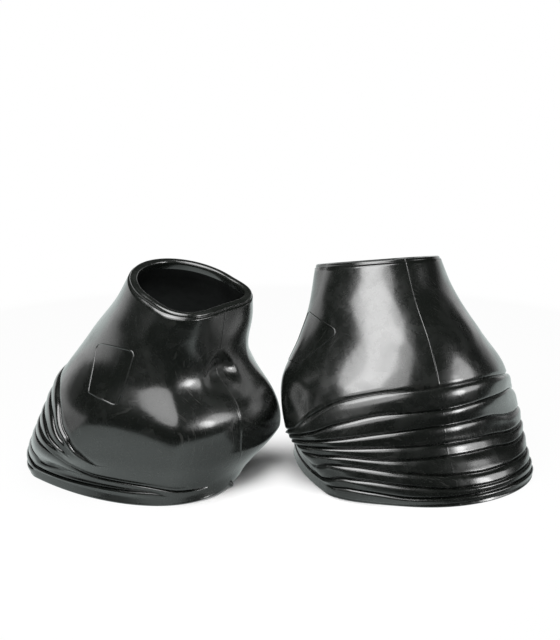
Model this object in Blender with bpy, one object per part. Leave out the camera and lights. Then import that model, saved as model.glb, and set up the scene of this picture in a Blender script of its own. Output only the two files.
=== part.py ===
# A pair of pull-on overreach boots of moulded rubber, left and right, standing side by side.
# Each boot is one shell: a tilted collar, a convex toe wall with eight shingled ribs that fan in
# to a point low on each side, heel bulbs joined in one round mass with a small cleft above them, and a
# flat bottom lip.
# In a boot's own frame the toe is +Y and the right boot's outer side is +X.

import math

import bmesh
import bpy
import numpy as np
from mathutils.bvhtree import BVHTree

# Driving dimensions of one boot, in metres
FRONT_HEIGHT = 0.155
BASE_TOE_REACH = 0.1
BASE_HEEL_REACH = 0.0743
BASE_HALF_WIDTH = 0.078
COLLAR_HALF_LENGTH = 0.0384
COLLAR_HALF_WIDTH = 0.0435
COLLAR_SETBACK = 0.0335
BACK_HOLLOW = 0.024
BULB_SWELL = 0.0355
CLEFT_DEPTH = 0.004
HEEL_ARCH = 0.0016
WALL = 0.0045
COLLAR_WALL = 0.0058
LIP_ROUNDING = 0.0012
RIB_RISE = 0.0017
GROOVE_DEPTH = 0.0011
FULL_BAND = 0.005

# Angles, with the angle round the boot measured from the toe
COLLAR_TILT = math.radians(15)
COLLAR_ROLL = math.radians(-1.5)
BULB_FROM_HEEL = math.radians(34.2)
BULB_SPREAD = math.radians(23.5)
BULB_SPLAY = math.radians(5.7)
CLEFT_SPREAD = math.radians(13)
ARCH_FROM_HEEL = math.radians(42)
RIB_FADE = math.radians(16)

# How the pair is set out: the right boot stands beside the left one, a little behind it, and
# PAIR_GAP is what is left between the two walls where they come nearest
RIGHT_SETBACK = 0.0123
PAIR_GAP = 0.0018
LEFT_TOE_HEADING = math.radians(140)
RIGHT_TOE_HEADING = math.radians(-68.4)

# Form of the wall at seven heights, as shares of the sizes above
HEIGHT_SHARES = (0.0, 0.075, 0.25, 0.45, 0.65, 0.84, 1.0)
TOE_SHARES = (1.0, 0.93, 0.725, 0.64, 0.46, 0.17, 0.0)
WIDTH_SHARES = (1.0, 1.033, 1.426, 1.225, 0.662, 0.29, 0.0)
HOLLOW_SHARES = (0.0, 0.555, 1.0, 0.592, 0.508, 0.171, 0.0)
BULB_SHARES = (0.0, 0.432, 1.0, 0.7, 0.163, 0.0, 0.0)
WIDEST_SHARES = (0.7, 0.673, 0.456, 0.343, 0.327, 0.43, 0.445)
FRONT_FULLNESS_SHARES = (-0.04, -0.006, -0.04, -0.001, -0.014, -0.05, 0.0)
BACK_FULLNESS_SHARES = (0.035, 0.036, -0.055, -0.064, 0.0, 0.107, 0.18)
SKEW_SHARES = (0.1, 0.051, -0.03, 0.02, 0.056, 0.01, 0.03)

# The cleft above the bulbs opens downward from a point, like an inverted V, and runs out on them
CLEFT_TOP_SHARE = 0.75
CLEFT_OPEN_SHARE = 0.65
CLEFT_LOW_SHARE = 0.62
CLEFT_END_SHARE = 0.53
CLEFT_POINT_SHARE = 0.2

# Heights of the eight grooves from the lowest up: on the inner side, at the toe, on the outer side,
# and then the same on both sides, at the quarters, where the fan closes and at the heel
GROOVE_ANGLES = tuple(math.radians(turn) for turn in (-55, 0, 45, 80, 118, 180))
GROOVE_SHARES = (
    (0.032, 0.04, 0.06, 0.065, 0.045, 0.03),
    (0.062, 0.075, 0.105, 0.1, 0.076, 0.045),
    (0.095, 0.12, 0.148, 0.147, 0.11, 0.06),
    (0.145, 0.182, 0.2, 0.2, 0.148, 0.075),
    (0.2, 0.242, 0.24, 0.236, 0.17, 0.12),
    (0.277, 0.318, 0.285, 0.265, 0.187, 0.18),
    (0.358, 0.395, 0.355, 0.31, 0.205, 0.25),
    (0.45, 0.483, 0.448, 0.352, 0.21, 0.33),
)
GROOVE_ENDS = tuple(math.radians(turn) for turn in (92, 146, 108, 166, 96, 104, 98, 122))
CREST_SHARE = 0.2
TAIL_SHARE = 0.86
TAIL_RISE_SHARE = 0.25
LIP_SHARE = 0.012
LEAST_RELIEF_SHARE = 0.25
COLLAR_SQUARENESS_SHARE = 0.7

# Counts of rings and columns
COLUMNS = 56
HEEL_CROWDING = 0.3
PLAIN_ROWS = 11
COLLAR_ROWS = 5
INNER_ROWS = 9
PLACING_PASSES = 60

RUBBER_COLOUR = (0.012, 0.013, 0.012, 1.0)
RUBBER_ROUGHNESS = 0.32


def smooth_curve(knots, values):
    """Return a curve through the values that never overshoots between two of them."""
    knots = np.asarray(knots, float)
    values = np.asarray(values, float)
    steps = np.diff(knots)
    slopes = np.diff(values) / steps
    tangents = np.zeros_like(values)
    for i in range(1, len(values) - 1):
        if slopes[i - 1] * slopes[i] > 0:
            before = 2 * steps[i] + steps[i - 1]
            after = steps[i] + 2 * steps[i - 1]
            tangents[i] = (before + after) / (before / slopes[i - 1] + after / slopes[i])
    tangents[0] = slopes[0]
    tangents[-1] = slopes[-1]

    def curve(at):
        at = np.asarray(at, float)
        i = np.clip(np.searchsorted(knots, at) - 1, 0, len(steps) - 1)
        t = (at - knots[i]) / steps[i]
        rest = 1 - t
        ends = values[i] * rest**2 * (1 + 2 * t) + values[i + 1] * t**2 * (3 - 2 * t)
        bends = tangents[i] * t * rest**2 - tangents[i + 1] * t**2 * rest
        return ends + steps[i] * bends

    return curve


TOE_CURVE = smooth_curve(HEIGHT_SHARES, TOE_SHARES)
WIDTH_CURVE = smooth_curve(HEIGHT_SHARES, WIDTH_SHARES)
HOLLOW_CURVE = smooth_curve(HEIGHT_SHARES, HOLLOW_SHARES)
BULB_CURVE = smooth_curve(HEIGHT_SHARES, BULB_SHARES)
WIDEST_CURVE = smooth_curve(HEIGHT_SHARES, WIDEST_SHARES)
FRONT_FULLNESS_CURVE = smooth_curve(HEIGHT_SHARES, FRONT_FULLNESS_SHARES)
BACK_FULLNESS_CURVE = smooth_curve(HEIGHT_SHARES, BACK_FULLNESS_SHARES)
SKEW_CURVE = smooth_curve(HEIGHT_SHARES, SKEW_SHARES)


def ease(share):
    """Ease from 0 to 1 with no slope at either end."""
    share = np.clip(share, 0, 1)
    return share * share * (3 - 2 * share)


def from_heel(angle):
    """Angle from the heel's centre, the same on both sides."""
    return np.abs(math.pi - np.mod(angle, 2 * math.pi))


def cleft_depth(height_share, back):
    """How far the cleft above the bulbs goes in, at angles from the heel's centre."""
    opened = np.clip((CLEFT_TOP_SHARE - height_share) / (CLEFT_TOP_SHARE - CLEFT_OPEN_SHARE), 0, 1)
    closed = ease((height_share - CLEFT_END_SHARE) / (CLEFT_LOW_SHARE - CLEFT_END_SHARE))
    spread = CLEFT_SPREAD * (CLEFT_POINT_SHARE + (1 - CLEFT_POINT_SHARE) * opened)
    return CLEFT_DEPTH * ease(opened) * closed * np.exp(-((back / spread) ** 4))


def wall_points(height_share, angle):
    """Points of the smooth outer wall at the given shares of height and angles from the toe."""
    height_share, angle = np.broadcast_arrays(height_share, angle)
    drop = 2 * COLLAR_HALF_LENGTH * math.tan(COLLAR_TILT)
    collar_toe = COLLAR_HALF_LENGTH - COLLAR_SETBACK
    collar_heel = COLLAR_HALF_LENGTH + COLLAR_SETBACK
    toe = collar_toe + (BASE_TOE_REACH - collar_toe) * TOE_CURVE(height_share)
    heel = collar_heel + (BASE_HEEL_REACH - collar_heel) * (1 - height_share)
    heel = heel - BACK_HOLLOW * HOLLOW_CURVE(height_share)
    half_width = COLLAR_HALF_WIDTH + (BASE_HALF_WIDTH - COLLAR_HALF_WIDTH) * WIDTH_CURVE(height_share)
    length = toe + heel
    widest = length * WIDEST_CURVE(height_share) - heel

    front = np.cos(angle) >= 0
    fullness = np.where(front, FRONT_FULLNESS_CURVE(height_share), BACK_FULLNESS_CURVE(height_share))
    full = 1 + fullness * np.sin(2 * angle) ** 2 - SKEW_CURVE(height_share) * np.sin(2 * angle)
    x = half_width * np.sin(angle) * full
    y = widest + np.where(front, toe - widest, widest + heel) * np.cos(angle) * full

    back = from_heel(angle)
    beyond = np.maximum(back - BULB_FROM_HEEL, 0) / BULB_SPREAD
    swell = BULB_SWELL * BULB_CURVE(height_share) * np.exp(-(beyond**2))
    x = x + swell * math.sin(BULB_SPLAY) * np.sign(np.sin(angle)) * np.minimum(back / BULB_FROM_HEEL, 1)
    y = y - swell * math.cos(BULB_SPLAY) + cleft_depth(height_share, back)

    lean = (y + heel) / length
    z = height_share * (FRONT_HEIGHT - drop + drop * lean - x * math.tan(COLLAR_ROLL))
    arch = ease(1 - back / ARCH_FROM_HEEL) * ease(1 - height_share / HEIGHT_SHARES[2])
    return np.stack([x, y, z + HEEL_ARCH * arch], axis=-1)


def wall_normals(height_share, angle):
    """Outward normals of the smooth outer wall, by differences."""
    step_share = 0.002
    up = wall_points(np.minimum(height_share + step_share, 1), angle)
    up = up - wall_points(np.maximum(height_share - step_share, 0), angle)
    round_wall = wall_points(height_share, angle + step_share) - wall_points(height_share, angle - step_share)
    normal = np.cross(up, round_wall)
    return normal / np.linalg.norm(normal, axis=-1, keepdims=True)


def flat(vectors):
    """Unit vectors without their upward part."""
    level = vectors * np.array([1.0, 1.0, 0.0])
    return level / np.linalg.norm(level, axis=-1, keepdims=True)


def groove_heights(shares, angle):
    """Height shares of one groove round the boot, the same past the quarters on both sides."""
    inner, toe, outer, quarter, closing, heel = GROOVE_ANGLES
    knots = (-heel, -closing, -quarter, inner, toe, outer, quarter, closing, heel)
    sides = shares[:2:-1] + shares
    turned = np.mod(angle + math.pi, 2 * math.pi) - math.pi
    return smooth_curve(knots, sides)(turned)


def rib_rows(angle):
    """Rows of the ribbed lower wall from the bottom up: (height shares, relief) pairs."""
    rows = []
    below = np.full_like(angle, LIP_SHARE)
    for shares, end in zip(GROOVE_SHARES, GROOVE_ENDS):
        groove = groove_heights(shares, angle)
        strength = ease((end - math.pi + from_heel(angle)) / RIB_FADE)
        # Where the fan draws a band in, its relief shrinks with it
        strength = strength * np.clip((groove - below) * FRONT_HEIGHT / FULL_BAND, LEAST_RELIEF_SHARE, 1)
        # A band's tail lies just above its lower groove, its crest just under its upper one
        tail = (1 - TAIL_SHARE, TAIL_RISE_SHARE * RIB_RISE)
        crest = (1 - CREST_SHARE, RIB_RISE)
        for share, relief in (tail, crest, (1, -GROOVE_DEPTH)):
            rows.append((below + (groove - below) * share, relief * strength))
        below = groove
    return rows


def outer_rings(angle):
    """Rings of the outer skin from the bottom edge to just under the collar."""
    rings = []
    for height, relief in rib_rows(angle):
        rings.append(wall_points(height, angle) + wall_normals(height, angle) * relief[:, None])
    top_groove = rib_rows(angle)[-1][0]
    for row in range(1, PLAIN_ROWS):
        height = top_groove + (1 - top_groove) * row / PLAIN_ROWS
        rings.append(wall_points(height, angle))
    return rings


def squared(share):
    """A cosine or sine drawn outward, for a round edge with a flatter top."""
    return math.copysign(abs(share) ** COLLAR_SQUARENESS_SHARE, share)


def collar_rings(angle):
    """Rings over the rounded collar, from its outer edge to its inner edge."""
    edge = wall_points(np.ones_like(angle), angle)
    up = np.array([math.tan(COLLAR_ROLL), -math.tan(COLLAR_TILT), 1.0])
    up = up / np.linalg.norm(up)
    outward = wall_normals(np.ones_like(angle), angle)
    outward = outward - (outward @ up)[:, None] * up
    outward = outward / np.linalg.norm(outward, axis=-1, keepdims=True)
    middle = edge - outward * COLLAR_WALL / 2 - up * COLLAR_WALL / 2
    rings = []
    for row in range(COLLAR_ROWS):
        turn = math.pi * row / (COLLAR_ROWS - 1)
        across = squared(math.cos(turn))
        rise = squared(math.sin(turn))
        rings.append(middle + (outward * across + up * rise) * COLLAR_WALL / 2)
    return rings


def inner_rings(angle):
    """Rings of the smooth inner skin, from under the collar down to the bottom edge."""
    rings = []
    for row in range(INNER_ROWS, -1, -1):
        height = np.full_like(angle, row / (INNER_ROWS + 1))
        normal = wall_normals(height, angle)
        upright = ease(1 - height / HEIGHT_SHARES[1])[:, None]
        normal = normal * (1 - upright) + flat(normal) * upright
        normal = normal / np.linalg.norm(normal, axis=-1, keepdims=True)
        rings.append(wall_points(height, angle) - normal * WALL)
    return rings


def lip_rings(angle):
    """Rings of the flat lip's outer corner: its flat edge, then the rounded corner's top."""
    height = np.zeros_like(angle)
    edge = wall_points(height, angle)
    outward = flat(wall_normals(height, angle))
    corner = edge + np.array([0.0, 0.0, LIP_ROUNDING])
    return [edge - outward * LIP_ROUNDING, corner]


def boot_mesh(name, side):
    """Mesh of one boot; side is 1 for the right boot and -1 for its mirror image."""
    turn = np.linspace(0, 2 * math.pi, COLUMNS, endpoint=False)
    angle = turn + HEEL_CROWDING * np.sin(turn)
    rings = lip_rings(angle) + outer_rings(angle) + collar_rings(angle) + inner_rings(angle)
    body = bmesh.new()
    rows = []
    for ring in rings:
        rows.append([body.verts.new((side * x, y, z)) for x, y, z in ring])
    for row, following in zip(rows, rows[1:] + rows[:1]):
        for column in range(COLUMNS):
            after = (column + 1) % COLUMNS
            corners = [row[column], row[after], following[after], following[column]]
            body.faces.new(corners if side < 0 else corners[::-1])
    bmesh.ops.triangulate(body, faces=body.faces[:])
    mesh = bpy.data.meshes.new(name)
    body.to_mesh(mesh)
    body.free()
    mesh.shade_smooth()
    return mesh


def rubber(name):
    """Glossy black moulded rubber."""
    material = bpy.data.materials.new(name)
    material.use_nodes = True
    shader = material.node_tree.nodes["Principled BSDF"]
    shader.inputs["Base Color"].default_value = RUBBER_COLOUR
    shader.inputs["Roughness"].default_value = RUBBER_ROUGHNESS
    shader.inputs["Metallic"].default_value = 0.0
    return material


def add_boot(name, side, heading):
    """Add one boot to the scene with its toe along the heading."""
    boot = bpy.data.objects.new(name, boot_mesh(name, side))
    boot.data.materials.append(rubber(name + "_rubber"))
    boot.rotation_euler = (0.0, 0.0, heading - math.pi / 2)
    bpy.context.scene.collection.objects.link(boot)
    return boot


def nearest_distance(still, moved, shift):
    """Least distance from the shifted points of one boot to the wall of another."""
    return min(still.find_nearest(point + shift)[3] for point in moved)


def stand_beside(left, right):
    """Stand the right boot at the left one's right, PAIR_GAP away where they come nearest."""
    bpy.context.view_layer.update()
    wall = [left.matrix_world @ vertex.co for vertex in left.data.vertices]
    still = BVHTree.FromPolygons(wall, [face.vertices[:] for face in left.data.polygons])
    moved = [right.matrix_world @ vertex.co for vertex in right.data.vertices]
    right.location.y = RIGHT_SETBACK
    right.location.x = max(point.x for point in wall) - min(point.x for point in moved) + PAIR_GAP
    # No step is longer than the free way, so the boots never meet on the way in
    for _ in range(PLACING_PASSES):
        right.location.x -= nearest_distance(still, moved, right.location) - PAIR_GAP


def centre_on_origin(objects):
    """Move the pair so that the origin is at the middle of its box, on the floor."""
    bpy.context.view_layer.update()
    corners = [thing.matrix_world @ vertex.co for thing in objects for vertex in thing.data.vertices]
    corners = np.array(corners)
    middle = (corners.min(axis=0) + corners.max(axis=0)) / 2
    for thing in objects:
        thing.location.x -= middle[0]
        thing.location.y -= middle[1]


def main():
    for thing in list(bpy.data.objects):
        bpy.data.objects.remove(thing, do_unlink=True)
    left = add_boot("left_boot", -1, LEFT_TOE_HEADING)
    right = add_boot("right_boot", 1, RIGHT_TOE_HEADING)
    stand_beside(left, right)
    centre_on_origin([left, right])


main()
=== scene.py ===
import math

import bpy
import numpy as np
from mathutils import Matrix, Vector


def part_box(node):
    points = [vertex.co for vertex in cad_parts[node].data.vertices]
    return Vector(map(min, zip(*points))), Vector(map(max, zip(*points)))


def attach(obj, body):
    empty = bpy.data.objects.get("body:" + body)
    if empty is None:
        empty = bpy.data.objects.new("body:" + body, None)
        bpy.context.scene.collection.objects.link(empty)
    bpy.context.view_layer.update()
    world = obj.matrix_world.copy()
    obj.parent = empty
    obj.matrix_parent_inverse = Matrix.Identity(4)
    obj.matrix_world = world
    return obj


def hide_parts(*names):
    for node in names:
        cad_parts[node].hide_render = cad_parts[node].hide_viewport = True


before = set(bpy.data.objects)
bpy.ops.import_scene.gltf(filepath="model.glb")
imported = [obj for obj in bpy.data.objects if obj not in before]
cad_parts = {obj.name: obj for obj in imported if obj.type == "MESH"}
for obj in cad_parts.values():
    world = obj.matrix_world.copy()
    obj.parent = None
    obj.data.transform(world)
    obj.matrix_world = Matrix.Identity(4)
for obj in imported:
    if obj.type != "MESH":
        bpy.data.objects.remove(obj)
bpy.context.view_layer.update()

# A pair of pull-on overreach boots of moulded black rubber, standing on a white floor.
# Lengths are metres. In a boot's own frame the toe is +Y and the right boot's outer side is +X;
# the left boot is its mirror image. Angles go round a boot from the toe towards the outer side.

shellForm = {
    "frontHeight": 0.155,
    "toeReach": 0.1,
    "heelReach": 0.0743,
    "halfWidth": 0.078,
    "collarHalfLength": 0.0384,
    "collarHalfWidth": 0.0435,
    "collarSetback": 0.0335,
    "collarTilt": math.radians(15),
    "collarRoll": math.radians(-1.5),
    "backHollow": 0.024,
    "bulbSwell": 0.0355,
    "bulbFromHeel": math.radians(34.2),
    "bulbSpread": math.radians(23.5),
    "bulbSplay": math.radians(5.7),
    "cleftDepth": 0.004,
    "cleftSpread": math.radians(13),
    "heelArch": 0.0016,
    "archFromHeel": math.radians(42),
    "wall": 0.0045,
    "collarWall": 0.0058,
    "lipRounding": 0.0012,
    # the form at seven heights, as shares of the sizes above
    "heightShares": (0.0, 0.075, 0.25, 0.45, 0.65, 0.84, 1.0),
    "toeShares": (1.0, 0.93, 0.725, 0.64, 0.46, 0.17, 0.0),
    "widthShares": (1.0, 1.033, 1.426, 1.225, 0.662, 0.29, 0.0),
    "hollowShares": (0.0, 0.555, 1.0, 0.592, 0.508, 0.171, 0.0),
    "bulbShares": (0.0, 0.432, 1.0, 0.7, 0.163, 0.0, 0.0),
    "widestShares": (0.7, 0.673, 0.456, 0.343, 0.327, 0.43, 0.445),
    "frontFullnessShares": (-0.04, -0.006, -0.04, -0.001, -0.014, -0.05, 0.0),
    "backFullnessShares": (0.035, 0.036, -0.055, -0.064, 0.0, 0.107, 0.18),
    "skewShares": (0.1, 0.051, -0.03, 0.02, 0.056, 0.01, 0.03),
    # the cleft above the heel bulbs opens downward from a point and runs out on them
    "cleftTop": 0.75,
    "cleftOpen": 0.65,
    "cleftLow": 0.62,
    "cleftEnd": 0.53,
    "cleftPoint": 0.2,
}

ribForm = {
    "rise": 0.0017,
    "groove": 0.0016,
    "grooveHalfWidth": 0.0006,
    "fullBand": 0.004,               # narrower bands stand less proud
    "leastProud": 0.25,
    "widestFoot": 0.28,
    # the angles of the groove heights below; the inner side's back repeats the outer side's
    "angles": (-90, -50, -25, 0, 25, 50, 65, 80, 95, 107, 118, 135, 150, 180),
    "mirrorAngles": {-180: 180, -150: 150, -125: 118},
    "ends": tuple(math.radians(turn) for turn in (92, 146, 108, 166, 96, 104, 98, 122)),
    "fade": math.radians(16),
    "holdRun": 0.5,                  # the part of a rib's width where its relief changes to its top's
    "lipShare": 0.012,
    # the section of a rib: thin tail, swelling face, and a rounded ledge that drops into the groove
    "section": ((0.0, 0.0), (0.055, 0.58), (0.09, 0.76), (0.35, 0.88), (0.62, 1.0), (0.8, 0.93),
                (0.93, 0.7), (0.97, 0.45), (1.0, 0.0)),
    "grooveTop": 0.055,
    "grooveFoot": 0.95,
    "bank": 0.0018,                  # how far above the top groove the wall is level again
    "bankShares": (0.25, 0.5, 0.75, 1.0),
    "levelShare": 0.0465,            # where the section crosses the plain wall
    "rowShares": (0.018, 0.038, 0.06, 0.085, 0.13, 0.24, 0.38, 0.52,
                  0.63, 0.72, 0.8, 0.87, 0.92, 0.955, 0.98, 1.0),
}

# Heights of the eight grooves, lowest first, as shares of the height at the ribs' angles
grooveShares = {
    "left_boot": (
        (0.045, 0.05, 0.042, 0.04, 0.042, 0.05, 0.05, 0.045, 0.04, 0.038, 0.036, 0.032, 0.02, 0.015),
        (0.075, 0.105, 0.09, 0.075, 0.09, 0.105, 0.1, 0.09, 0.07, 0.067, 0.07, 0.075, 0.04, 0.03),
        (0.12, 0.168, 0.15, 0.125, 0.15, 0.168, 0.165, 0.152, 0.11, 0.107, 0.1, 0.093, 0.055, 0.04),
        (0.2, 0.252, 0.23, 0.2, 0.23, 0.252, 0.252, 0.245, 0.212, 0.157, 0.124, 0.113, 0.077, 0.05),
        (0.235, 0.3, 0.28, 0.25, 0.28, 0.3, 0.298, 0.28, 0.24, 0.178, 0.146, 0.15, 0.13, 0.13),
        (0.275, 0.35, 0.34, 0.325, 0.34, 0.35, 0.34, 0.305, 0.262, 0.2, 0.162, 0.185, 0.18, 0.19),
        (0.32, 0.415, 0.408, 0.4, 0.408, 0.415, 0.395, 0.345, 0.285, 0.222, 0.178, 0.22, 0.23, 0.25),
        (0.37, 0.474, 0.482, 0.487, 0.482, 0.478, 0.443, 0.375, 0.315, 0.25, 0.194, 0.26, 0.29, 0.32),
    ),
    "right_boot": (
        (0.04, 0.04, 0.04, 0.04, 0.045, 0.063, 0.066, 0.055, 0.045, 0.042, 0.038, 0.032, 0.02, 0.015),
        (0.07, 0.073, 0.067, 0.072, 0.093, 0.11, 0.108, 0.088, 0.074, 0.07, 0.068, 0.073, 0.04, 0.03),
        (0.108, 0.113, 0.113, 0.121, 0.145, 0.163, 0.158, 0.135, 0.117, 0.108, 0.1, 0.09, 0.055, 0.04),
        (0.16, 0.163, 0.183, 0.19, 0.193, 0.2, 0.19, 0.183, 0.17, 0.148, 0.123, 0.112, 0.077, 0.05),
        (0.192, 0.203, 0.23, 0.242, 0.245, 0.233, 0.222, 0.208, 0.19, 0.167, 0.146, 0.15, 0.13, 0.13),
        (0.232, 0.27, 0.313, 0.321, 0.307, 0.27, 0.246, 0.228, 0.206, 0.182, 0.163, 0.185, 0.18, 0.19),
        (0.285, 0.385, 0.398, 0.393, 0.387, 0.333, 0.28, 0.248, 0.222, 0.197, 0.18, 0.22, 0.23, 0.25),
        (0.36, 0.458, 0.489, 0.487, 0.477, 0.427, 0.353, 0.27, 0.24, 0.215, 0.198, 0.26, 0.29, 0.32),
    ),
}

# Mould lines and the small tab at the heel
mouldForm = {
    "ridgeRise": 0.00022,
    "ridgeHalfWidth": 0.00055,
    "heelRidgeShare": 0.35,
    "heelRidgeWidening": 2.6,        # between the bulbs the ridge is broad and high
    "broadRidgeShare": 2.0,
    "broadFrom": 0.022,
    "broadTo": 0.08,
    "broadSoft": 0.012,
    "ridgeWear": 0.75,               # how much lower the ridge is on the ribs
    "tabRise": 0.0022,
    "tabHalfWidth": 0.0016,
    "tabHeight": 0.0042,
    "tabFade": 1.5,
}

meshForm = {
    "columns": 420,
    "toeCrowding": 0.05,
    "middleCrowding": -0.38,
    "plainRows": 40,
    "collarRows": 15,
    "collarSquareness": 0.62,
    "innerRows": 24,
    "lipRows": 5,
}


def makeCurve(knots, values):
    # a curve through the values that never overshoots between two of them
    knots = np.asarray(knots, float)
    values = np.asarray(values, float)
    steps = np.diff(knots)
    slopes = np.diff(values) / steps
    tangents = np.zeros_like(values)
    for i in range(1, len(values) - 1):
        if slopes[i - 1] * slopes[i] > 0:
            before = 2 * steps[i] + steps[i - 1]
            after = steps[i] + 2 * steps[i - 1]
            tangents[i] = (before + after) / (before / slopes[i - 1] + after / slopes[i])
    tangents[0] = slopes[0]
    tangents[-1] = slopes[-1]

    def curve(at):
        at = np.asarray(at, float)
        i = np.clip(np.searchsorted(knots, at) - 1, 0, len(steps) - 1)
        t = (at - knots[i]) / steps[i]
        rest = 1 - t
        ends = values[i] * rest**2 * (1 + 2 * t) + values[i + 1] * t**2 * (3 - 2 * t)
        bends = tangents[i] * t * rest**2 - tangents[i + 1] * t**2 * rest
        return ends + steps[i] * bends

    return curve


shellCurve = {
    name[: -len("Shares")]: makeCurve(shellForm["heightShares"], shares)
    for name, shares in shellForm.items()
    if name.endswith("Shares") and name != "heightShares"
}


def ease(share):
    share = np.clip(share, 0, 1)
    return share * share * (3 - 2 * share)


def fromHeel(angle):
    return np.abs(math.pi - np.mod(angle, 2 * math.pi))


def cleftDepth(height, back):
    form = shellForm
    opened = np.clip((form["cleftTop"] - height) / (form["cleftTop"] - form["cleftOpen"]), 0, 1)
    closed = ease((height - form["cleftEnd"]) / (form["cleftLow"] - form["cleftEnd"]))
    spread = form["cleftSpread"] * (form["cleftPoint"] + (1 - form["cleftPoint"]) * opened)
    return form["cleftDepth"] * ease(opened) * closed * np.exp(-((back / spread) ** 4))


def wallPoints(height, angle):
    # the smooth outer wall at shares of the height and angles from the toe
    form = shellForm
    height, angle = np.broadcast_arrays(height, angle)
    drop = 2 * form["collarHalfLength"] * math.tan(form["collarTilt"])
    collarToe = form["collarHalfLength"] - form["collarSetback"]
    collarHeel = form["collarHalfLength"] + form["collarSetback"]
    toe = collarToe + (form["toeReach"] - collarToe) * shellCurve["toe"](height)
    heel = collarHeel + (form["heelReach"] - collarHeel) * (1 - height)
    heel = heel - form["backHollow"] * shellCurve["hollow"](height)
    spread = form["halfWidth"] - form["collarHalfWidth"]
    halfWidth = form["collarHalfWidth"] + spread * shellCurve["width"](height)
    length = toe + heel
    widest = length * shellCurve["widest"](height) - heel

    front = np.cos(angle) >= 0
    full = np.where(front, shellCurve["frontFullness"](height), shellCurve["backFullness"](height))
    full = 1 + full * np.sin(2 * angle) ** 2 - shellCurve["skew"](height) * np.sin(2 * angle)
    x = halfWidth * np.sin(angle) * full
    y = widest + np.where(front, toe - widest, widest + heel) * np.cos(angle) * full

    # the heel bulbs, joined in one round mass with a small cleft above it
    back = fromHeel(angle)
    beyond = np.maximum(back - form["bulbFromHeel"], 0) / form["bulbSpread"]
    swell = form["bulbSwell"] * shellCurve["bulb"](height) * np.exp(-(beyond**2))
    apart = np.sign(np.sin(angle)) * np.minimum(back / form["bulbFromHeel"], 1)
    x = x + swell * math.sin(form["bulbSplay"]) * apart
    y = y - swell * math.cos(form["bulbSplay"]) + cleftDepth(height, back)

    lean = (y + heel) / length
    z = height * (form["frontHeight"] - drop + drop * lean - x * math.tan(form["collarRoll"]))
    arch = ease(1 - back / form["archFromHeel"]) * ease(1 - height / form["heightShares"][2])
    return np.stack([x, y, z + form["heelArch"] * arch], axis=-1)


def unit(vectors):
    return vectors / np.linalg.norm(vectors, axis=-1, keepdims=True)


def wallNormals(height, angle):
    stepShare = 0.002
    up = wallPoints(np.minimum(height + stepShare, 1), angle)
    up = up - wallPoints(np.maximum(height - stepShare, 0), angle)
    turn = wallPoints(height, angle + stepShare) - wallPoints(height, angle - stepShare)
    return unit(np.cross(up, turn))


def level(vectors):
    return unit(vectors * np.array([1.0, 1.0, 0.0]))


def grooveHeights(shares, angle):
    turns = ribForm["angles"]
    mirrored = ribForm["mirrorAngles"]
    knots = list(mirrored) + list(turns)
    values = [shares[turns.index(turn)] for turn in mirrored.values()] + list(shares)
    turned = np.mod(angle + math.pi, 2 * math.pi) - math.pi
    return makeCurve(np.radians(knots), values)(turned)


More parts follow.
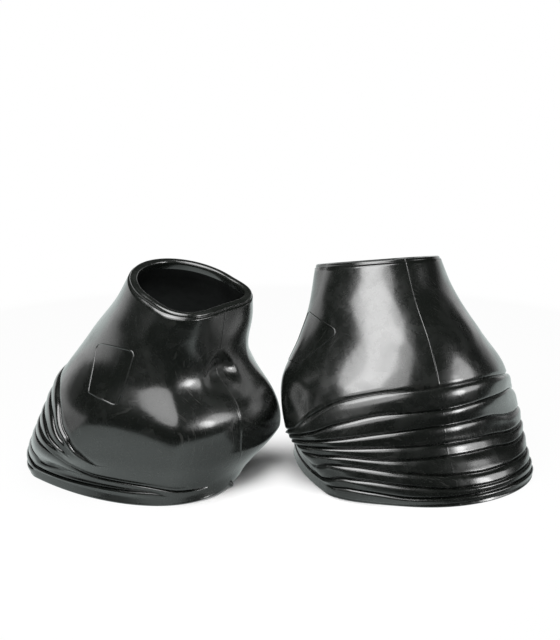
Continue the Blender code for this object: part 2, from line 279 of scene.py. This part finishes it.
def shellRings(angle, bootShares):
    # rings round the shell: points, outward directions, and what the ribs and finish read
    rings = []

    def add(points, outward, band=0.0, hold=0.0, inner=0.0):
        full = np.ones_like(angle)
        rings.append({"points": points, "outward": outward, "band": full * band,
                      "hold": full * hold, "inner": full * inner})

    def addWall(height, band, hold):
        add(wallPoints(height, angle), wallNormals(height, angle), band, hold)

    bottom = np.zeros_like(angle)
    outward = level(wallNormals(bottom, angle))
    rounding = shellForm["lipRounding"]
    lift = np.array([0.0, 0.0, 1.0])
    centre = wallPoints(bottom, angle) - outward * rounding + lift * rounding
    for row in range(meshForm["lipRows"]):
        turn = math.pi / 2 * row / (meshForm["lipRows"] - 1)
        add(centre + rounding * (outward * math.sin(turn) - lift * math.cos(turn)), outward)

    grooves = [grooveHeights(shares, angle) for shares in bootShares]
    below = [np.full_like(angle, ribForm["lipShare"])] + grooves[:-1]
    widths = [(above - under) * shellForm["frontHeight"] for above, under in zip(grooves, below)]
    proud = [np.clip(width / ribForm["fullBand"], ribForm["leastProud"], 1) for width in widths]
    proud = [np.minimum(a, b) for a, b in zip(proud, proud[1:] + proud[-1:])]
    holds = []
    for share, end in zip(proud, ribForm["ends"]):
        holds.append(share * ease((end - math.pi + fromHeel(angle)) / ribForm["fade"]))
    holdBelow = [holds[0]] + holds[:-1]
    start, end = ribForm["grooveTop"], ribForm["grooveFoot"]
    for under, above, width, lower, upper in zip(below, grooves, widths, holdBelow, holds):
        # the grooves keep their width where the ribs get narrow
        foot = np.minimum(ribForm["grooveHalfWidth"] / width, ribForm["widestFoot"])
        for share in ribForm["rowShares"]:
            moved = foot + (1 - 2 * foot) * (share - start) / (end - start)
            if share < start:
                moved = foot * share / start
            if share > end:
                moved = 1 - foot * (1 - share) / (1 - end)
            risen = ease((share - ribForm["section"][2][0]) / ribForm["holdRun"])
            hold = lower + (upper - lower) * risen
            addWall(under + (above - under) * moved, share % 1.0, hold)

    # the wall just above the top groove rises level with the plain wall
    top = grooves[-1]
    bank = ribForm["bank"] / shellForm["frontHeight"]
    levelShare = ribForm["levelShare"]
    for share in ribForm["bankShares"]:
        addWall(top + bank * share, levelShare * share, holds[-1])
    for row in range(1, meshForm["plainRows"]):
        plain = (1 - top - bank) * row / meshForm["plainRows"]
        addWall(top + bank + plain, levelShare, 0.0)

    # the collar: a thick flat edge with rounded corners
    rim = wallPoints(np.ones_like(angle), angle)
    tilt, roll = math.tan(shellForm["collarTilt"]), math.tan(shellForm["collarRoll"])
    up = unit(np.array([roll, -tilt, 1.0]))
    outward = wallNormals(np.ones_like(angle), angle)
    outward = unit(outward - (outward @ up)[:, None] * up)
    half = shellForm["collarWall"] / 2
    for row in range(meshForm["collarRows"]):
        turn = math.pi * row / (meshForm["collarRows"] - 1)
        across = math.copysign(abs(math.cos(turn)) ** meshForm["collarSquareness"], math.cos(turn))
        over = math.sin(turn) ** meshForm["collarSquareness"]
        middle = rim - outward * half - up * half
        add(middle + (outward * across + up * over) * half, outward, band=levelShare)

    for row in range(meshForm["innerRows"], -1, -1):
        height = np.full_like(angle, row / (meshForm["innerRows"] + 1))
        normal = wallNormals(height, angle)
        upright = ease(1 - height / shellForm["heightShares"][1])[:, None]
        normal = unit(normal * (1 - upright) + level(normal) * upright)
        inside = wallPoints(height, angle) - normal * shellForm["wall"]
        add(inside, -normal, band=levelShare, inner=1.0)
    return rings


def addObject(name, data):
    made = bpy.data.objects.new(name, data)
    bpy.context.scene.collection.objects.link(made)
    return made


def buildShell(name, side, heading, cadNode):
    # the smooth shell with its fields, and how a boot's own frame is turned and placed
    turn = np.linspace(0, 2 * math.pi, meshForm["columns"], endpoint=False)
    angle = turn + meshForm["toeCrowding"] * np.sin(turn)
    angle = angle + meshForm["middleCrowding"] * np.sin(2 * turn)
    rings = shellRings(angle, grooveShares[cadNode])
    points = np.concatenate([ring["points"] for ring in rings])
    outward = np.concatenate([ring["outward"] for ring in rings])

    mould = mouldForm
    atHeel = points[:, 1] < 0
    height = points[:, 2]
    broad = ease((height - mould["broadFrom"]) / mould["broadSoft"])
    broad = broad * ease((mould["broadTo"] - height) / mould["broadSoft"])
    fromParting = points[:, 0] / np.where(atHeel, 1 + (mould["heelRidgeWidening"] - 1) * broad, 1)
    gain = mould["broadRidgeShare"] - mould["heelRidgeShare"]
    heelShare = mould["heelRidgeShare"] + gain * broad
    partingShare = np.where(atHeel, heelShare, 1.0)
    onTab = np.exp(-((points[:, 0] / mould["tabHalfWidth"]) ** 4)) * atHeel
    onTab = onTab * ease(mould["tabFade"] - height / mould["tabHeight"])

    spin = heading - math.pi / 2
    turned = np.array([[math.cos(spin), math.sin(spin), 0],
                       [-math.sin(spin), math.cos(spin), 0],
                       [0, 0, 1]])
    flip = np.array([side, 1, 1])
    points = (points * flip) @ turned
    outward = (outward * flip) @ turned
    low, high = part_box(cadNode)
    place = (np.array(low) + np.array(high)) / 2 - (points.min(axis=0) + points.max(axis=0)) / 2
    place[2] = 0
    points = points + place

    columns = meshForm["columns"]
    here = np.arange(len(rings))[:, None] * columns + np.arange(columns)
    nextRing = np.roll(here, -1, axis=0)
    besideHere, besideNext = np.roll(here, -1, axis=1), np.roll(nextRing, -1, axis=1)
    quads = np.stack([here, besideHere, besideNext, nextRing], axis=-1).reshape(-1, 4)
    if side > 0:
        quads = quads[:, ::-1]
    mesh = bpy.data.meshes.new(name)
    mesh.from_pydata(points.tolist(), [], quads.tolist())
    fields = {"fromParting": fromParting, "partingShare": partingShare, "onTab": onTab}
    for field in ("band", "hold", "inner"):
        fields[field] = np.concatenate([ring[field] for ring in rings])
    for field, values in fields.items():
        made = mesh.attributes.new(field, "FLOAT", "POINT")
        made.data.foreach_set("value", values.astype(np.float32))
    direction = mesh.attributes.new("outward", "FLOAT_VECTOR", "POINT")
    direction.data.foreach_set("vector", outward.astype(np.float32).ravel())
    return addObject(name, mesh), turned, place


# Node helpers: a value sets a socket, a socket is linked to it

def put(tree, kind, inputs=None, **settings):
    node = tree.nodes.new(kind)
    for key, value in settings.items():
        setattr(node, key, value)
    for key, value in (inputs or {}).items():
        if isinstance(value, bpy.types.NodeSocket):
            tree.links.new(value, node.inputs[key])
        else:
            node.inputs[key].default_value = value
    return node


def calculate(tree, operation, *values, kind="ShaderNodeMath", **settings):
    return put(tree, kind, dict(enumerate(values)), operation=operation, **settings).outputs[0]


def between(tree, value, low, high, **settings):
    # how far a value has come from low to high, 0 to 1
    ends = {"Value": value, "From Min": low, "From Max": high}
    return put(tree, "ShaderNodeMapRange", ends, **settings).outputs[0]


def noise(tree, at, scale, detail, **inputs):
    inputs = {"Vector": at, "Scale": scale, "Detail": detail, **inputs}
    return put(tree, "ShaderNodeTexNoise", inputs).outputs[0]


def attributeValue(tree, name, kind="FLOAT"):
    node = put(tree, "GeometryNodeInputNamedAttribute", {"Name": name}, data_type=kind)
    return node.outputs["Attribute"]


def addInputs(tree, sockets):
    for name, kind in sockets:
        tree.interface.new_socket(name=name, in_out="INPUT", socket_type=kind)


def scaled(tree, vector, factor):
    node = put(tree, "ShaderNodeVectorMath", {0: vector}, operation="SCALE")
    tree.links.new(factor, node.inputs["Scale"])
    return node.outputs[0]


def dressed(tree, shape, rubber):
    # smooth, made real and in its rubber
    smooth = put(tree, "GeometryNodeSetShadeSmooth", {"Geometry": shape.outputs[0]})
    plain = put(tree, "GeometryNodeRealizeInstances", {"Geometry": smooth.outputs[0]})
    done = put(tree, "GeometryNodeSetMaterial", {"Geometry": plain.outputs[0], "Material": rubber})
    return done.outputs[0]


def makeRibTree():
    # raises the shingled ribs, the mould lines and the heel tab out of the smooth shell
    tree = bpy.data.node_groups.new("raise ribs", "GeometryNodeTree")
    addInputs(tree, (("Geometry", "NodeSocketGeometry"), ("Rib rise", "NodeSocketFloat"),
                     ("Groove depth", "NodeSocketFloat"), ("Ridge rise", "NodeSocketFloat"),
                     ("Ridge half width", "NodeSocketFloat"), ("Tab rise", "NodeSocketFloat"),
                     ("Outer rubber", "NodeSocketMaterial"),
                     ("Inner rubber", "NodeSocketMaterial")))
    tree.interface.new_socket(name="Geometry", in_out="OUTPUT", socket_type="NodeSocketGeometry")
    given = put(tree, "NodeGroupInput").outputs

    profile = put(tree, "ShaderNodeFloatCurve", {"Value": attributeValue(tree, "band")})
    spots = ribForm["section"]
    curve = profile.mapping.curves[0]
    for spot in spots[1:-1]:
        curve.points.new(*spot)
    curve.points[0].location = spots[0]
    curve.points[-1].location = spots[-1]
    profile.mapping.update()
    travel = calculate(tree, "ADD", given["Rib rise"], given["Groove depth"])
    relief = calculate(tree, "MULTIPLY", profile.outputs[0], travel)
    relief = calculate(tree, "SUBTRACT", relief, given["Groove depth"])
    relief = calculate(tree, "MULTIPLY", relief, attributeValue(tree, "hold"))

    away = calculate(tree, "ABSOLUTE", attributeValue(tree, "fromParting"))
    away = calculate(tree, "DIVIDE", away, given["Ridge half width"])
    outside = calculate(tree, "SUBTRACT", 1.0, attributeValue(tree, "inner"))
    ridge = calculate(tree, "SUBTRACT", 1.0, away, use_clamp=True)
    ridge = calculate(tree, "MULTIPLY", ridge, outside)
    ridge = calculate(tree, "MULTIPLY", ridge, attributeValue(tree, "partingShare"))
    ridge = calculate(tree, "MULTIPLY", ridge, given["Ridge rise"])
    wear = calculate(tree, "MULTIPLY", attributeValue(tree, "hold"), mouldForm["ridgeWear"])
    worn = calculate(tree, "SUBTRACT", 1.0, wear)
    ridge = calculate(tree, "MULTIPLY", ridge, worn)
    tab = calculate(tree, "MULTIPLY", attributeValue(tree, "onTab"), outside)
    tab = calculate(tree, "MULTIPLY", tab, given["Tab rise"])
    relief = calculate(tree, "ADD", calculate(tree, "ADD", relief, ridge), tab)
    offset = scaled(tree, attributeValue(tree, "outward", "FLOAT_VECTOR"), relief)

    raised = put(tree, "GeometryNodeSetPosition", {"Geometry": given["Geometry"], "Offset": offset})
    outer = dressed(tree, raised, given["Outer rubber"])
    # the inside wall takes the darker inside rubber, whose colour paints the shade of the boot's
    # hollow
    isInner = put(tree, "FunctionNodeCompare", {"A": attributeValue(tree, "inner"), "B": 0.5},
                  data_type="FLOAT", operation="GREATER_THAN")
    inner = put(tree, "GeometryNodeSetMaterial", {"Geometry": outer, "Selection": isInner.outputs[0],
                                                  "Material": given["Inner rubber"]})
    put(tree, "NodeGroupOutput", {"Geometry": inner.outputs[0]})
    return tree


# The bare badge frame: corners as (angle in degrees, height share)
badgeForm = {
    "corners": ((61.5, 0.707), (107.5, 0.773), (112.5, 0.527), (83.5, 0.547)),
    "standOff": 0.02,
    "reach": 0.1,
    "cornerRadius": 0.0035,
    "cornerPoints": 8,
    "beadRadius": 0.0006,
    "beadSides": 10,
    "beadLift": -0.0002,
    "points": 160,
}


def makeEdgingTree():
    # lays a thin raised bead round an outline pressed onto the wall
    tree = bpy.data.node_groups.new("lay bead", "GeometryNodeTree")
    addInputs(tree, (("Geometry", "NodeSocketGeometry"), ("Wall", "NodeSocketObject"),
                     ("Press direction", "NodeSocketVector"), ("Corner radius", "NodeSocketFloat"),
                     ("Bead radius", "NodeSocketFloat"), ("Bead lift", "NodeSocketFloat"),
                     ("Points", "NodeSocketInt"), ("Rubber", "NodeSocketMaterial")))
    tree.interface.new_socket(name="Geometry", in_out="OUTPUT", socket_type="NodeSocketGeometry")
    given = put(tree, "NodeGroupInput").outputs
    rounded = put(tree, "GeometryNodeFilletCurve",
                  {"Curve": given["Geometry"], "Radius": given["Corner radius"],
                   "Limit Radius": True, "Count": badgeForm["cornerPoints"]}, mode="POLY")
    even = put(tree, "GeometryNodeResampleCurve",
               {"Curve": rounded.outputs[0], "Count": given["Points"]})
    wall = put(tree, "GeometryNodeObjectInfo", {"Object": given["Wall"]})
    hit = put(tree, "GeometryNodeRaycast",
              {"Target Geometry": wall.outputs["Geometry"],
               "Ray Direction": given["Press direction"], "Ray Length": badgeForm["reach"]})
    lifted = scaled(tree, hit.outputs["Hit Normal"], given["Bead lift"])
    seat = calculate(tree, "ADD", hit.outputs["Hit Position"], lifted, kind="ShaderNodeVectorMath")
    laid = put(tree, "GeometryNodeSetPosition", {"Geometry": even.outputs[0], "Position": seat})
    section = put(tree, "GeometryNodeCurvePrimitiveCircle",
                  {"Resolution": badgeForm["beadSides"], "Radius": given["Bead radius"]})
    bead = put(tree, "GeometryNodeCurveToMesh",
               {"Curve": laid.outputs[0], "Profile Curve": section.outputs[0]})
    put(tree, "NodeGroupOutput", {"Geometry": dressed(tree, bead, given["Rubber"])})
    return tree


def applyTree(piece, tree, values):
    # runs a tree on a piece, keeps the result as a plain mesh and removes the modifier
    modifier = piece.modifiers.new(tree.name, "NODES")
    modifier.node_group = tree
    for socket in tree.interface.items_tree:
        if socket.item_type == "SOCKET" and socket.in_out == "INPUT" and socket.name in values:
            modifier[socket.identifier] = values[socket.name]
    graph = bpy.context.evaluated_depsgraph_get()
    mesh = bpy.data.meshes.new_from_object(piece.evaluated_get(graph), depsgraph=graph)
    mesh.name = piece.name
    piece.modifiers.clear()
    if piece.type == "MESH":
        piece.data = mesh
        return piece
    made = addObject(piece.name + "_bead", mesh)
    bpy.data.objects.remove(piece)
    return made


# Finish: node groups that every rubber shares, then the three rubbers

finish = {
    "black": (0.0042, 0.0053, 0.0043, 1),
    # the inside black is painted much darker than the outer black: painted shade for the hollow of the
    # boot
    "insidePaintedShade": (0.0005, 0.0006, 0.0005, 1),
    "worn": (0.012, 0.0135, 0.012, 1),
    "dust": (0.05, 0.05, 0.045, 1),
    "dustTo": 0.12,                  # dust lies below this share of a rib's width
    "dustShare": 0.35,
    "scuffShare": 0.35,
    "fineScale": 140.0,
    "bloomRoughness": 0.12,
    "fineRoughness": 0.06,
    "scuffRoughness": 0.15,
    "coatRoughness": 0.15,
    "coatLoss": 0.25,
    "index": 1.55,
}

bloomForm = {"detail": 6.0, "roughness": 0.6, "distortion": 0.6}

skinForm = {
    "waveScale": 55.0,
    "waveHeight": 0.00055,
    "waveRoughness": 0.45,
    "dimpleScale": 210.0,
    "dimpleHeight": 0.00006,
    "poreScale": 1500.0,
    "poreHeight": 0.000012,
}

scuffForm = {
    "turns": (0.4, 1.5, 2.4),
    "spin": (1.0, 1.7, 0.6),
    "stretch": (1.0, 14.0, 1.0),
    "lineFrom": 0.66,
    "lineTo": 0.74,
    "patchScale": 22.0,
    "patchFrom": 0.5,
    "patchTo": 0.62,
}


def makeGroup(name, inputs, outputs):
    tree = bpy.data.node_groups.new(name, "ShaderNodeTree")
    for socket, kind, value in inputs:
        made = tree.interface.new_socket(name=socket, in_out="INPUT", socket_type=kind)
        if value is not None:
            made.default_value = value
    for socket, kind in outputs:
        tree.interface.new_socket(name=socket, in_out="OUTPUT", socket_type=kind)
    return tree, put(tree, "NodeGroupInput").outputs


def makeBloomGroup():
    # cloudy bloom of old rubber, coarse clouds broken by finer ones
    tree, given = makeGroup(
        "rubber bloom",
        (("Vector", "NodeSocketVector", None), ("Scale", "NodeSocketFloat", 30.0),
         ("Start", "NodeSocketFloat", 0.45), ("End", "NodeSocketFloat", 0.7)),
        (("Mask", "NodeSocketFloat"),))
    clouds = noise(tree, given["Vector"], given["Scale"], bloomForm["detail"],
                   Roughness=bloomForm["roughness"], Distortion=bloomForm["distortion"])
    mask = between(tree, clouds, given["Start"], given["End"], interpolation_type="SMOOTHSTEP")
    put(tree, "NodeGroupOutput", {"Mask": mask})
    return tree


def makeRippleGroup():
    # height of a moulded skin: slow waves, small dimples and fine pores
    tree, given = makeGroup(
        "moulded skin",
        (("Vector", "NodeSocketVector", None), ("Waves", "NodeSocketFloat", 1.0),
         ("Pores", "NodeSocketFloat", 1.0)),
        (("Height", "NodeSocketFloat"),))
    form = skinForm
    waves = noise(tree, given["Vector"], form["waveScale"], 2.0, Roughness=form["waveRoughness"])
    dimples = noise(tree, given["Vector"], form["dimpleScale"], 2.0)
    pores = noise(tree, given["Vector"], form["poreScale"], 3.0)
    waveHeight = calculate(tree, "MULTIPLY", given["Waves"], form["waveHeight"])
    dimpleHeight = calculate(tree, "MULTIPLY", given["Waves"], form["dimpleHeight"])
    poreHeight = calculate(tree, "MULTIPLY", given["Pores"], form["poreHeight"])
    height = calculate(tree, "MULTIPLY", waves, waveHeight)
    height = calculate(tree, "MULTIPLY_ADD", dimples, dimpleHeight, height)
    height = calculate(tree, "MULTIPLY_ADD", pores, poreHeight, height)
    put(tree, "NodeGroupOutput", {"Height": height})
    return tree


def makeScuffGroup():
    # fine scratches that run in a few directions, in patches
    tree, given = makeGroup(
        "handling scuffs",
        (("Vector", "NodeSocketVector", None), ("Scale", "NodeSocketFloat", 60.0)),
        (("Mask", "NodeSocketFloat"),))
    form = scuffForm
    total = 0.0
    for turn in form["turns"]:
        rotation = [turn * share for share in form["spin"]]
        drawn = put(tree, "ShaderNodeMapping",
                    {"Vector": given["Vector"], "Rotation": rotation, "Scale": form["stretch"]})
        lines = noise(tree, drawn.outputs[0], given["Scale"], 2.0)
        thin = between(tree, lines, form["lineFrom"], form["lineTo"])
        total = calculate(tree, "MAXIMUM", total, thin)
    patches = noise(tree, given["Vector"], form["patchScale"], 1.0)
    where = between(tree, patches, form["patchFrom"], form["patchTo"])
    put(tree, "NodeGroupOutput", {"Mask": calculate(tree, "MULTIPLY", total, where)})
    return tree


rubbers = {
    "glossy_rubber": {"black": finish["black"], "roughness": 0.24, "waves": 1.0, "pores": 1.0,
                      "bloom": 0.7, "coat": 1.0, "gloss": 0.5},
    # the inside rubber's darker black is painted shade for the hollow of the boot
    "inside_rubber": {"black": finish["insidePaintedShade"], "roughness": 0.55, "waves": 1.6, "pores": 2.5,
                      "bloom": 0.03, "coat": 0.0, "gloss": 0.1},
    "bead_rubber": {"black": finish["black"], "roughness": 0.28, "waves": 0.3, "pores": 0.6,
                    "bloom": 0.4, "coat": 1.0, "gloss": 0.5},
}


def blend(tree, share, under, over):
    return put(tree, "ShaderNodeMix", {0: share, 6: under, 7: over}, data_type="RGBA").outputs[2]


def makeRubber(name):
    form = rubbers[name]
    material = bpy.data.materials.new(name)
    material.use_nodes = True
    tree = material.node_tree
    shader = tree.nodes["Principled BSDF"]
    shader.inputs["IOR"].default_value = finish["index"]
    shader.inputs["Specular IOR Level"].default_value = form["gloss"]
    shader.inputs["Coat IOR"].default_value = finish["index"]
    shader.inputs["Coat Roughness"].default_value = finish["coatRoughness"]
    at = put(tree, "ShaderNodeTexCoord").outputs["Object"]

    def effect(group, **inputs):
        return put(tree, "ShaderNodeGroup", {"Vector": at, **inputs}, node_tree=group).outputs[0]

    bloom = effect(bloomGroup)
    fine = effect(bloomGroup, Scale=finish["fineScale"])
    scuffs = effect(scuffGroup)
    skin = effect(rippleGroup, Waves=form["waves"], Pores=form["pores"])

    bloomed = calculate(tree, "MULTIPLY", bloom, form["bloom"])
    colour = blend(tree, bloomed, form["black"], finish["worn"])
    if form["coat"]:
        # dust in the feet of the ribs
        band = put(tree, "ShaderNodeAttribute", attribute_name="band").outputs["Fac"]
        hold = put(tree, "ShaderNodeAttribute", attribute_name="hold").outputs["Fac"]
        dusty = calculate(tree, "MULTIPLY", between(tree, band, finish["dustTo"], 0.0), hold)
        dustShare = calculate(tree, "MULTIPLY", fine, finish["dustShare"])
        dusty = calculate(tree, "MULTIPLY", dusty, dustShare)
        colour = blend(tree, dusty, colour, finish["dust"])
    scuffed = calculate(tree, "MULTIPLY", scuffs, finish["scuffShare"] * form["bloom"])
    colour = blend(tree, scuffed, colour, finish["dust"])
    tree.links.new(colour, shader.inputs["Base Color"])

    bloomRough = finish["bloomRoughness"] * form["bloom"]
    rough = calculate(tree, "MULTIPLY_ADD", bloom, bloomRough, form["roughness"])
    rough = calculate(tree, "MULTIPLY_ADD", fine, finish["fineRoughness"], rough)
    rough = calculate(tree, "MULTIPLY_ADD", scuffs, finish["scuffRoughness"], rough)
    tree.links.new(rough, shader.inputs["Roughness"])
    coatLoss = -finish["coatLoss"] * form["bloom"]
    coat = calculate(tree, "MULTIPLY_ADD", bloom, coatLoss, form["coat"], use_clamp=True)
    tree.links.new(coat, shader.inputs["Coat Weight"])
    bump = put(tree, "ShaderNodeBump", {"Height": skin, "Strength": 1.0, "Distance": 1.0})
    tree.links.new(bump.outputs[0], shader.inputs["Normal"])
    return material


bloomGroup = makeBloomGroup()
rippleGroup = makeRippleGroup()
scuffGroup = makeScuffGroup()
outerRubber = makeRubber("glossy_rubber")
innerPaintedShadeRubber = makeRubber("inside_rubber")
beadRubber = makeRubber("bead_rubber")
print("finishes made")

# Which side a boot is for, and where its toe points, from +X
pair = {
    "left_boot": {"side": -1, "heading": math.radians(140)},
    "right_boot": {"side": 1, "heading": math.radians(-68.4)},
}

ribTree = makeRibTree()
edgingTree = makeEdgingTree()


def makeShell(bodyName, setting):
    name = bodyName + "_shell"
    shell, turned, place = buildShell(name, setting["side"], setting["heading"], bodyName)
    applyTree(shell, ribTree, {
        "Rib rise": ribForm["rise"],
        "Groove depth": ribForm["groove"],
        "Ridge rise": mouldForm["ridgeRise"],
        "Ridge half width": mouldForm["ridgeHalfWidth"],
        "Tab rise": mouldForm["tabRise"],
        "Outer rubber": outerRubber,
        "Inner rubber": innerPaintedShadeRubber,
    })
    return shell, turned, place


def makeBadge(bodyName, side, shell, turned, place):
    turns = np.radians([turn for turn, share in badgeForm["corners"]])
    shares = np.array([share for turn, share in badgeForm["corners"]])
    flip = np.array([side, 1, 1])
    press = -unit(wallNormals(shares, turns).mean(axis=0)) * flip @ turned
    corners = (wallPoints(shares, turns) * flip) @ turned + place - press * badgeForm["standOff"]
    outline = bpy.data.curves.new(bodyName + "_badge", "CURVE")
    outline.dimensions = "3D"
    spline = outline.splines.new("POLY")
    spline.points.add(len(corners) - 1)
    for point, corner in zip(spline.points, corners):
        point.co = (*corner, 1)
    spline.use_cyclic_u = True
    return applyTree(addObject(bodyName + "_badge", outline), edgingTree, {
        "Wall": shell,
        "Press direction": Vector(press),
        "Corner radius": badgeForm["cornerRadius"],
        "Bead radius": badgeForm["beadRadius"],
        "Bead lift": badgeForm["beadLift"],
        "Points": badgeForm["points"],
        "Rubber": beadRubber,
    })


for bodyName, setting in pair.items():
    shell, turned, place = makeShell(bodyName, setting)
    print(shell.name, len(shell.data.polygons), "faces")
    badge = makeBadge(bodyName, setting["side"], shell, turned, place)
    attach(badge, bodyName)
    print(badge.name, len(badge.data.polygons), "faces")
    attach(shell, bodyName)
    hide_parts(bodyName)


# Floor, world and lamps

stageForm = {
    "floorRadius": 9.0,
    "floorPoints": 96,
    "floorColour": (0.84, 0.84, 0.84, 1),
    # the paper is white to the camera, and lit only near the boots, most in the gap
    "farFrom": 0.22,
    "farTo": 0.5,
    "gap": (0.0, -0.045, 0.0),
    "gapFrom": 0.04,
    "gapTo": 0.1,
    "nearWhite": 0.96,
    "mirroredColour": (0.91, 1.0, 0.98, 1),
    "mirroredFloor": 0.76,
    # how bright the paper stays in the gap between the boots, in reflections: a painted shadow
    "paintedGapShade": 0.55,
    "frontEdge": -0.15,              # where the paper ends in reflections, on the line x = 0
    "frontSlope": 0.45,
    "frontSoft": 0.015,
    "frontDark": 0.02,
    "worldLevel": 0.12,
    "darkRoom": 0.02,
    # in reflections the room behind is bright only near the floor
    "behindLevel": 0.75,
    "behindWay": (-0.5, 0.85, 0.0),
    "behindStart": -0.1,
    "behindFull": 0.5,
    "behindLow": 0.14,
    "behindHigh": 0.27,
}


def mixShaders(tree, share, under, over):
    return put(tree, "ShaderNodeMixShader", {0: share, 1: under, 2: over}).outputs[0]


def seenDirectly(tree, path):
    # 1 for what the camera sees, also through glass
    rays = (path["Is Camera Ray"], path["Is Transmission Ray"])
    return calculate(tree, "ADD", *rays, use_clamp=True)


def makeFloor():
    form = stageForm
    material = bpy.data.materials.new("floor_paper")
    material.use_nodes = True
    tree = material.node_tree
    tree.nodes.remove(tree.nodes["Principled BSDF"])
    output = tree.nodes["Material Output"]
    path = put(tree, "ShaderNodeLightPath").outputs
    at = put(tree, "ShaderNodeTexCoord").outputs["Object"]
    split = put(tree, "ShaderNodeSeparateXYZ", {0: at}).outputs
    away = put(tree, "ShaderNodeVectorMath", {0: at}, operation="LENGTH").outputs["Value"]
    far = between(tree, away, form["farFrom"], form["farTo"], interpolation_type="SMOOTHSTEP")
    fromGap = put(tree, "ShaderNodeVectorMath", {0: at, 1: form["gap"]}, operation="DISTANCE")
    clear = between(tree, fromGap.outputs["Value"], form["gapFrom"], form["gapTo"],
                    interpolation_type="SMOOTHSTEP")
    nearShare = calculate(tree, "MULTIPLY", clear, form["nearWhite"])
    whiteShare = calculate(tree, "MAXIMUM", far, nearShare)
    lit = put(tree, "ShaderNodeBsdfDiffuse", {"Color": form["floorColour"]}).outputs[0]
    white = put(tree, "ShaderNodeEmission", {"Strength": 1.0}).outputs[0]
    seen = mixShaders(tree, whiteShare, lit, white)

    # in reflections the paper ends a little in front of the boots, on a slant
    edge = calculate(tree, "MULTIPLY_ADD", split["X"], -form["frontSlope"], split["Y"])
    front = put(tree, "ShaderNodeMapRange", {
        "Value": edge,
        "From Min": form["frontEdge"] - form["frontSoft"],
        "From Max": form["frontEdge"] + form["frontSoft"],
        "To Min": form["frontDark"],
        "To Max": form["mirroredFloor"],
    }).outputs[0]
    # in reflections the paper is painted darker in the gap between the boots: a painted shadow
    gapShadeShare = form["paintedGapShade"]
    shaded = calculate(tree, "MULTIPLY_ADD", clear, 1 - gapShadeShare, gapShadeShare)
    strength = calculate(tree, "MULTIPLY", front, shaded)
    mirrored = put(tree, "ShaderNodeEmission",
                   {"Color": form["mirroredColour"], "Strength": strength}).outputs[0]
    result = mixShaders(tree, path["Is Glossy Ray"], lit, mirrored)
    result = mixShaders(tree, seenDirectly(tree, path), result, seen)
    tree.links.new(result, output.inputs["Surface"])

    turns = [2 * math.pi * i / form["floorPoints"] for i in range(form["floorPoints"])]
    radius = form["floorRadius"]
    ring = [(radius * math.cos(turn), radius * math.sin(turn), 0) for turn in turns]
    mesh = bpy.data.meshes.new("floor")
    mesh.from_pydata(ring, [], [list(range(len(ring)))])
    mesh.materials.append(material)
    addObject("floor", mesh)


def makeWorld():
    form = stageForm
    world = bpy.data.worlds.new("studio")
    bpy.context.scene.world = world
    world.use_nodes = True
    tree = world.node_tree
    path = put(tree, "ShaderNodeLightPath").outputs
    way = put(tree, "ShaderNodeTexCoord").outputs["Generated"]
    behind = put(tree, "ShaderNodeVectorMath", {0: way, 1: form["behindWay"]},
                 operation="DOT_PRODUCT").outputs["Value"]
    behind = between(tree, behind, form["behindStart"], form["behindFull"],
                     interpolation_type="SMOOTHSTEP")
    height = put(tree, "ShaderNodeSeparateXYZ", {0: way}).outputs["Z"]
    low = between(tree, height, form["behindHigh"], form["behindLow"],
                  interpolation_type="SMOOTHSTEP")
    behind = calculate(tree, "MULTIPLY", behind, low)
    mirrored = calculate(tree, "MULTIPLY_ADD", behind, form["behindLevel"], form["darkRoom"])
    room = tree.nodes["Background"]
    room.inputs["Color"].default_value = (1, 1, 1, 1)
    strength = put(tree, "ShaderNodeMix",
                   {0: path["Is Glossy Ray"], 2: form["worldLevel"], 3: mirrored}).outputs[0]
    direct = seenDirectly(tree, path)
    strength = put(tree, "ShaderNodeMix", {0: direct, 2: strength, 3: 1.0}).outputs[0]
    tree.links.new(strength, room.inputs["Strength"])


lampForm = {
    "softboxAbove": {"at": (-0.071, -0.115, 0.485), "size": (0.395, 0.53), "glow": 4.0},
    "softboxRight": {"at": (0.685, -0.18, 0.275), "size": (0.32, 0.32), "glow": 2.9},
    "softboxLow": {"at": (0.72, -0.34, 0.22), "size": (0.15, 0.29), "glow": 7.5},
    "softboxFront": {"at": (-0.037, -0.243, 0.283), "size": (0.33, 0.3), "glow": 2.2},
}
lampAim = (0.0, 0.0, 0.08)


def makeLamps():
    for name, setting in lampForm.items():
        width, height = setting["size"]
        lamp = bpy.data.lights.new(name, "AREA")
        lamp.shape = "ELLIPSE"
        lamp.size = width
        lamp.size_y = height
        lamp.energy = math.pi * width * height * setting["glow"]
        holder = addObject(name, lamp)
        holder.location = setting["at"]
        aim = Vector(lampAim) - Vector(setting["at"])
        holder.rotation_euler = aim.to_track_quat("-Z", "Y").to_euler()
        holder.visible_camera = False


cameraForm = {
    "at": (0.001, -1.0496, 0.4326),
    "downward": math.radians(17.15),
    "lens": 84.69,
    "sensor": 36,
}


def makeCamera():
    lens = bpy.data.cameras.new("photograph")
    lens.lens = cameraForm["lens"]
    lens.sensor_width = cameraForm["sensor"]
    holder = addObject("photograph", lens)
    holder.location = cameraForm["at"]
    holder.rotation_euler = (math.pi / 2 - cameraForm["downward"], 0, 0)
    bpy.context.scene.camera = holder


makeFloor()
makeWorld()
makeLamps()
makeCamera()
bpy.context.scene.view_settings.view_transform = "Standard"
print("stage, lamps and camera set")
